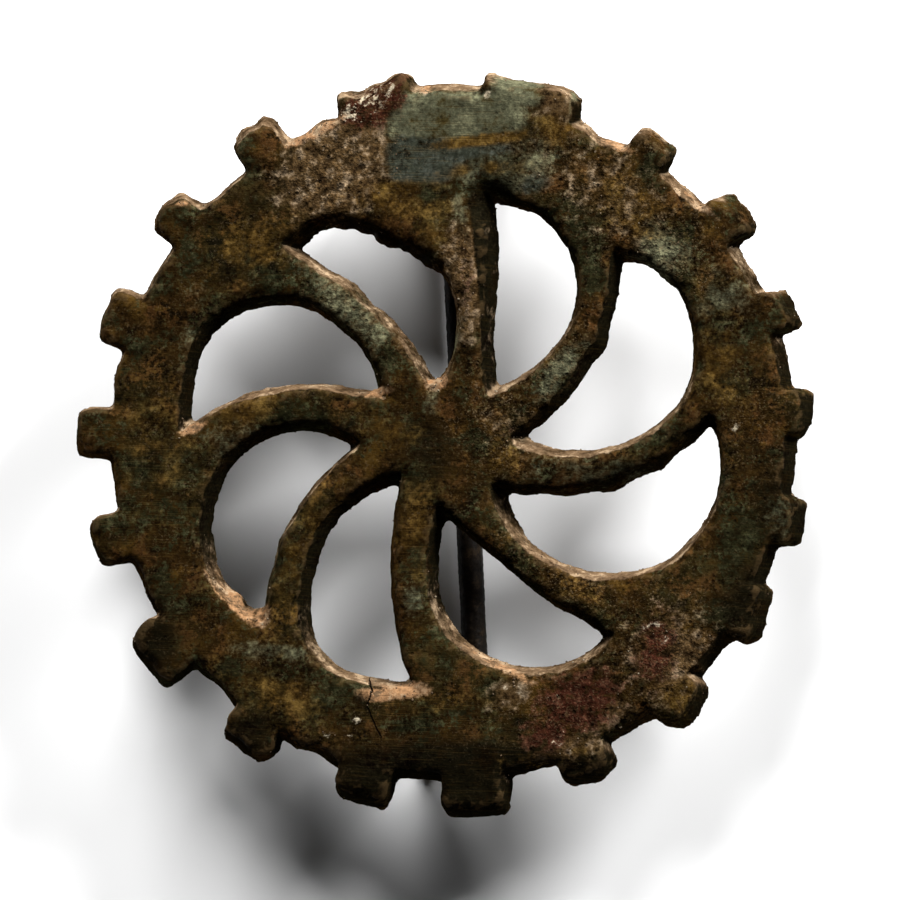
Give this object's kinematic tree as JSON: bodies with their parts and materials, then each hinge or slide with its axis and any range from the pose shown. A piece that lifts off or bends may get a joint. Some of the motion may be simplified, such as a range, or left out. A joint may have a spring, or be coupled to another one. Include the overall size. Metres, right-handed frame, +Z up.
{
  "type": "disc brooch",
  "caption": "Flat openwork bronze disc with curved arms and a toothed rim; a hinged pin on the back swings out to pass through cloth.",
  "frame": {"origin": "centre of the disc, on the surface under the lugs and the catch", "axes": "+Z up, out of the disc's face; +Y from the catch towards the hinge; +X to the right seen from the face"},
  "size_m": [0.05, 0.05, 0.009],
  "materials": {
    "bronze": "old cast bronze, dark brown and olive patina with sandy and reddish crust in places",
    "dark_metal": "dark, slightly rough, corroded metal"
  },
  "bodies": {
    "disc": {"openwork_disc": "bronze", "hinge_axle": "dark_metal"},
    "pin": {"brooch_pin": "dark_metal"}
  },
  "joints": [
    {"name": "pin_hinge", "type": "hinge", "parent": "disc", "child": "pin", "pos_m": [-0.00087, 0.019, 0.0013], "axis": [0.9987, 0.0506, 0], "range_deg": [0, 90]}
  ]
}
